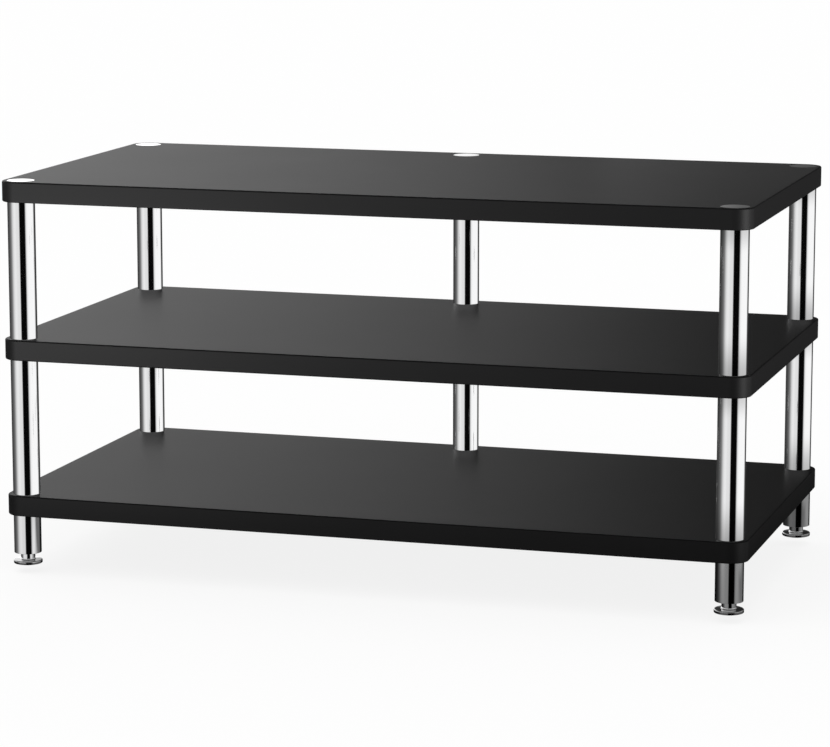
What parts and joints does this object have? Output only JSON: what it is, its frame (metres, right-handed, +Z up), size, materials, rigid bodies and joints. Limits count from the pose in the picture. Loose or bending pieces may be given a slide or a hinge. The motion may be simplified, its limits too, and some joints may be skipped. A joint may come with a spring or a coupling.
{
  "type": "audio equipment rack",
  "caption": "Low, wide open rack: black lacquered shelves with rounded corners on polished round columns, standing on short legs with screw-in levelling feet.",
  "frame": {"origin": "on the floor, under the middle of the shelves", "axes": "+X to the right seen from the front, +Y to the back, +Z up"},
  "size_m": [1.1, 0.56, 0.565],
  "materials": {
    "black_lacquer": "satin black lacquer on board",
    "polished_steel": "mirror-polished stainless steel",
    "zinc_plated_steel": "bright zinc-plated thread",
    "black_nylon": "moulded black nylon"
  },
  "bodies": {
    "rack": {"top_shelf": "black_lacquer", "middle_shelf": "black_lacquer", "bottom_shelf": "black_lacquer", "front_left_cap": "polished_steel", "front_left_upper_column": "polished_steel", "front_left_middle_stud": "zinc_plated_steel", "front_left_lower_column": "polished_steel", "front_left_bottom_stud": "zinc_plated_steel", "front_left_leg": "polished_steel", "front_right_cap": "polished_steel", "front_right_upper_column": "polished_steel", "front_right_middle_stud": "zinc_plated_steel", "front_right_lower_column": "polished_steel", "front_right_bottom_stud": "zinc_plated_steel", "front_right_leg": "polished_steel", "back_left_cap": "polished_steel", "back_left_upper_column": "polished_steel", "back_left_middle_stud": "zinc_plated_steel", "back_left_lower_column": "polished_steel", "back_left_bottom_stud": "zinc_plated_steel", "back_left_leg": "polished_steel", "back_middle_cap": "polished_steel", "back_middle_upper_column": "polished_steel", "back_middle_middle_stud": "zinc_plated_steel", "back_middle_lower_column": "polished_steel", "back_middle_bottom_stud": "zinc_plated_steel", "back_middle_leg": "polished_steel", "back_right_cap": "polished_steel", "back_right_upper_column": "polished_steel", "back_right_middle_stud": "zinc_plated_steel", "back_right_lower_column": "polished_steel", "back_right_bottom_stud": "zinc_plated_steel", "back_right_leg": "polished_steel"},
    "front_left_glide_body": {"front_left_foot_glide": "black_nylon"},
    "front_left_screw_foot": {"front_left_foot": "polished_steel", "front_left_foot_stud": "zinc_plated_steel"},
    "front_right_glide_body": {"front_right_foot_glide": "black_nylon"},
    "front_right_screw_foot": {"front_right_foot": "polished_steel", "front_right_foot_stud": "zinc_plated_steel"},
    "back_left_glide_body": {"back_left_foot_glide": "black_nylon"},
    "back_left_screw_foot": {"back_left_foot": "polished_steel", "back_left_foot_stud": "zinc_plated_steel"},
    "back_middle_glide_body": {"back_middle_foot_glide": "black_nylon"},
    "back_middle_screw_foot": {"back_middle_foot": "polished_steel", "back_middle_foot_stud": "zinc_plated_steel"},
    "back_right_glide_body": {"back_right_foot_glide": "black_nylon"},
    "back_right_screw_foot": {"back_right_foot": "polished_steel", "back_right_foot_stud": "zinc_plated_steel"}
  },
  "joints": [
    {"name": "front_left_foot_drop", "type": "slide", "parent": "rack", "child": "front_left_glide_body", "axis": [0, 0, -1], "range_m": [0, 0.012]},
    {"name": "front_left_foot_turn", "type": "hinge", "parent": "front_left_glide_body", "child": "front_left_screw_foot", "pos_m": [-0.523, -0.253, 0], "axis": [0, 0, -1], "range_deg": [0, 2900]},
    {"name": "front_right_foot_drop", "type": "slide", "parent": "rack", "child": "front_right_glide_body", "axis": [0, 0, -1], "range_m": [0, 0.012]},
    {"name": "front_right_foot_turn", "type": "hinge", "parent": "front_right_glide_body", "child": "front_right_screw_foot", "pos_m": [0.523, -0.253, 0], "axis": [0, 0, -1], "range_deg": [0, 2900]},
    {"name": "back_left_foot_drop", "type": "slide", "parent": "rack", "child": "back_left_glide_body", "axis": [0, 0, -1], "range_m": [0, 0.012]},
    {"name": "back_left_foot_turn", "type": "hinge", "parent": "back_left_glide_body", "child": "back_left_screw_foot", "pos_m": [-0.523, 0.253, 0], "axis": [0, 0, -1], "range_deg": [0, 2900]},
    {"name": "back_middle_foot_drop", "type": "slide", "parent": "rack", "child": "back_middle_glide_body", "axis": [0, 0, -1], "range_m": [0, 0.012]},
    {"name": "back_middle_foot_turn", "type": "hinge", "parent": "back_middle_glide_body", "child": "back_middle_screw_foot", "pos_m": [0, 0.253, 0], "axis": [0, 0, -1], "range_deg": [0, 2900]},
    {"name": "back_right_foot_drop", "type": "slide", "parent": "rack", "child": "back_right_glide_body", "axis": [0, 0, -1], "range_m": [0, 0.012]},
    {"name": "back_right_foot_turn", "type": "hinge", "parent": "back_right_glide_body", "child": "back_right_screw_foot", "pos_m": [0.523, 0.253, 0], "axis": [0, 0, -1], "range_deg": [0, 2900]}
  ],
  "couplings": [
    {"joint": "front_left_foot_turn", "follows": "front_left_foot_drop", "rad_per_m": 4188.8},
    {"joint": "front_right_foot_turn", "follows": "front_right_foot_drop", "rad_per_m": 4188.8},
    {"joint": "back_left_foot_turn", "follows": "back_left_foot_drop", "rad_per_m": 4188.8},
    {"joint": "back_middle_foot_turn", "follows": "back_middle_foot_drop", "rad_per_m": 4188.8},
    {"joint": "back_right_foot_turn", "follows": "back_right_foot_drop", "rad_per_m": 4188.8}
  ]
}
